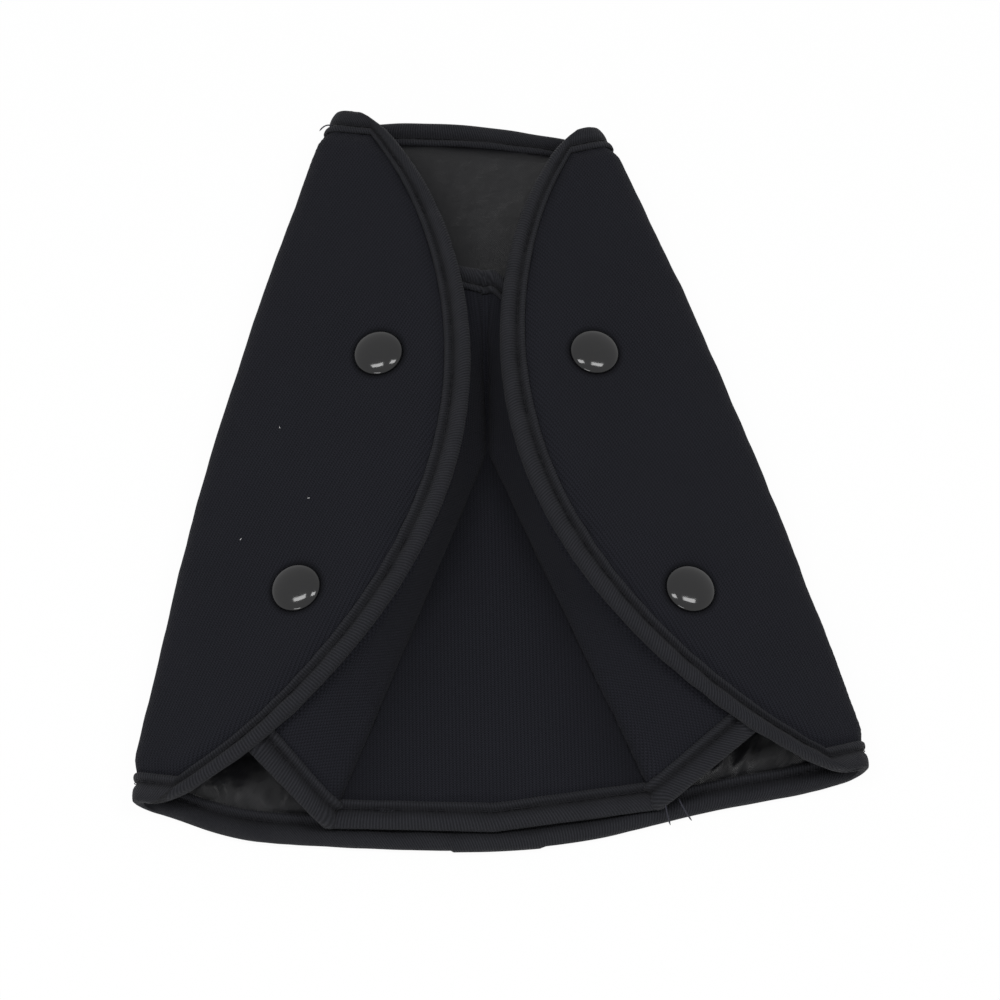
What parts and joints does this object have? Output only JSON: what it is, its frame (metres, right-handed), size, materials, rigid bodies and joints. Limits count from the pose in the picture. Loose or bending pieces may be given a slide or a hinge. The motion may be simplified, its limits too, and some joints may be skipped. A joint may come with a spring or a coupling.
{
  "type": "seat belt shoulder pad",
  "caption": "Child's padded cloth seat belt pad: a trapezoid back with two folded wings, four press studs and a creased inner panel.",
  "frame": {"origin": "middle of the pad's flat back, on the surface it lies on", "axes": "+Z out of the front, +Y toward the narrow end, +X to the right seen from the front"},
  "size_m": [0.213, 0.2372, 0.0295],
  "materials": {
    "knit_cloth": "matte fine knit",
    "satin_lining": "soft satin",
    "foam_sheet": "open foam",
    "edge_tape": "ribbed woven tape",
    "stud_cap": "polished",
    "stud_resin": "moulded"
  },
  "bodies": {
    "root": {"shell_cover": "knit_cloth", "shell_foam": "foam_sheet", "shell_lining": "satin_lining", "shell_binding": "edge_tape", "inner_cover": "knit_cloth", "inner_foam": "foam_sheet", "inner_backing": "knit_cloth", "inner_binding": "edge_tape", "upper_left_cap": "stud_cap", "upper_left_socket": "stud_resin", "upper_left_stud": "stud_resin", "upper_left_rivet": "stud_resin", "upper_right_cap": "stud_cap", "upper_right_socket": "stud_resin", "upper_right_stud": "stud_resin", "upper_right_rivet": "stud_resin", "lower_left_cap": "stud_cap", "lower_left_socket": "stud_resin", "lower_left_stud": "stud_resin", "lower_left_rivet": "stud_resin", "lower_right_cap": "stud_cap", "lower_right_socket": "stud_resin", "lower_right_stud": "stud_resin", "lower_right_rivet": "stud_resin"}
  },
  "joints": []
}
